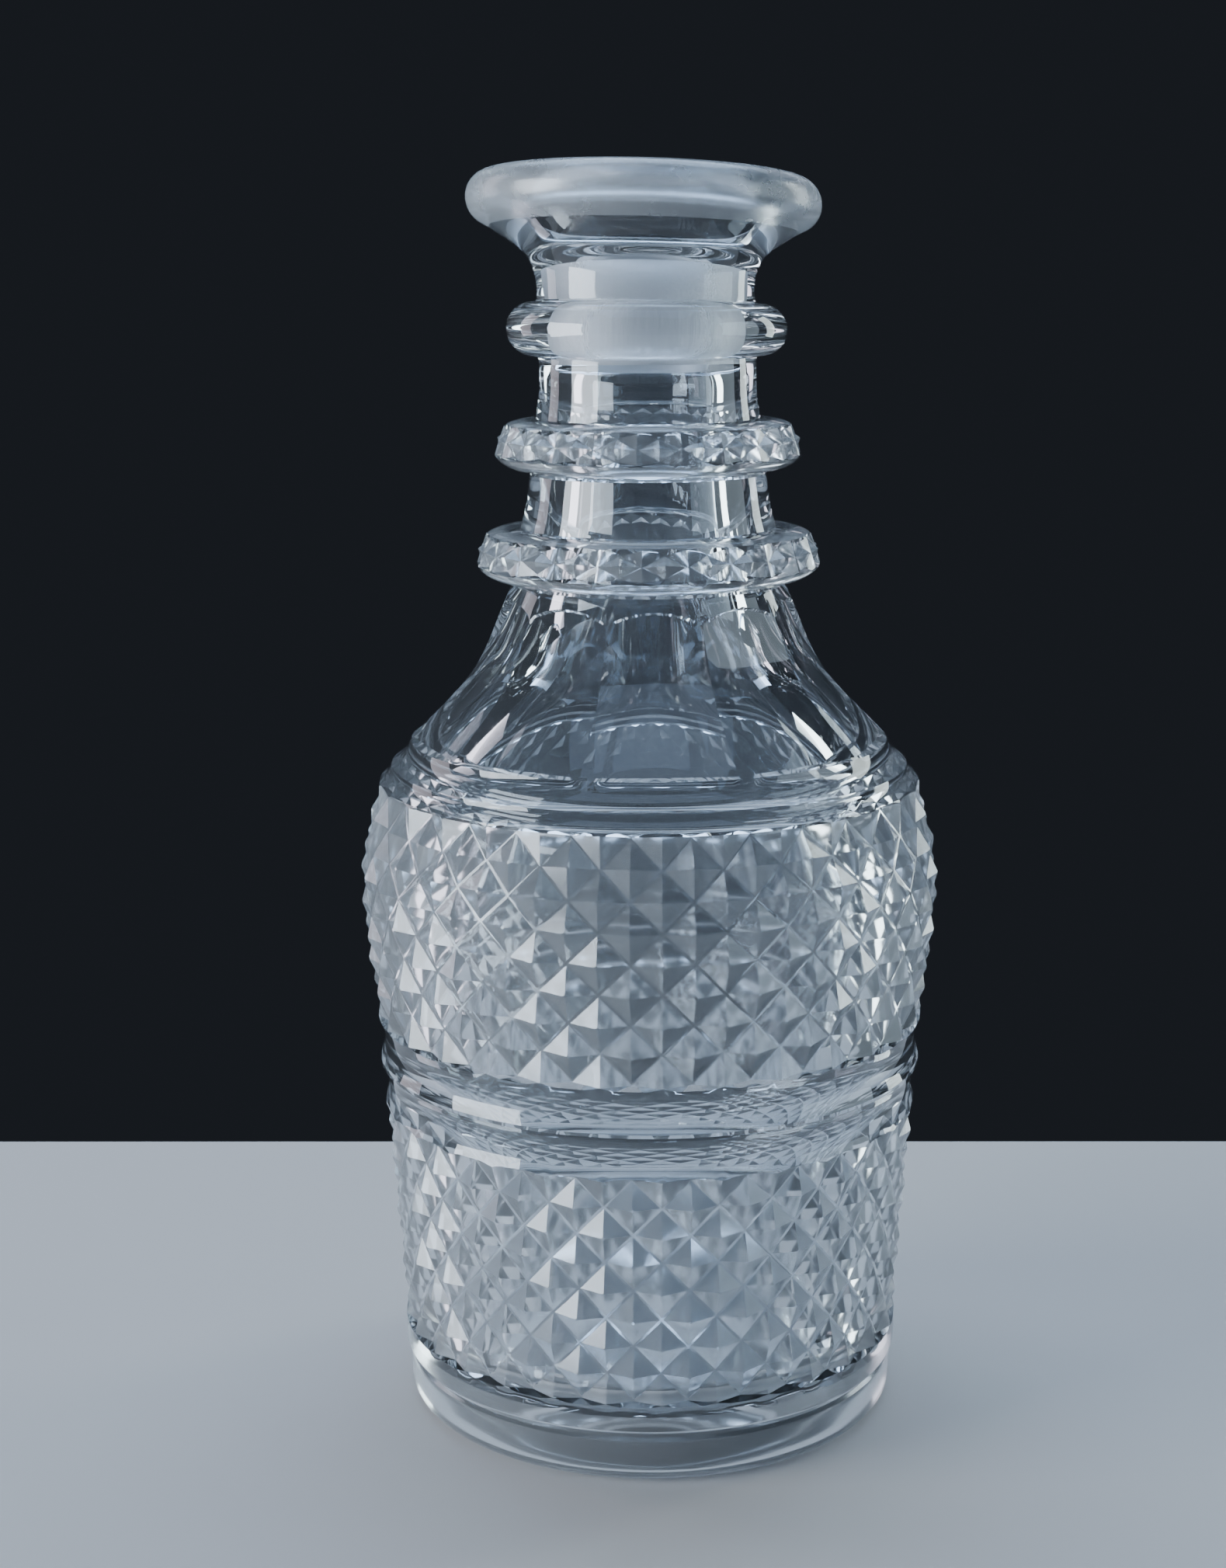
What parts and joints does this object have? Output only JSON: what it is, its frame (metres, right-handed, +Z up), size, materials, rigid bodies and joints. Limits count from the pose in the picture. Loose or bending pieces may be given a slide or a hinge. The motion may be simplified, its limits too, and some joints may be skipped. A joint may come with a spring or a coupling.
{
  "type": "decanter",
  "caption": "Heavy cut crystal decanter: straight body with diamond-cut bands, fluted shoulder, ringed neck and wide flared lip, open at the top for a stopper.",
  "frame": {"origin": "centre of the foot's resting circle, on the surface it stands on", "axes": "+Z up along the body's axis, -Y towards the front, +X to the right as seen from the front"},
  "size_m": [0.1064, 0.1062, 0.2269],
  "materials": {
    "crystal": "polished clear lead crystal with a cool grey cast, ground grey inside the top of the neck"
  },
  "bodies": {
    "root": {"decanter_body": "crystal", "plain_neck_ring": "crystal", "upper_cut_neck_ring": "crystal", "lower_cut_neck_ring": "crystal"}
  },
  "joints": []
}
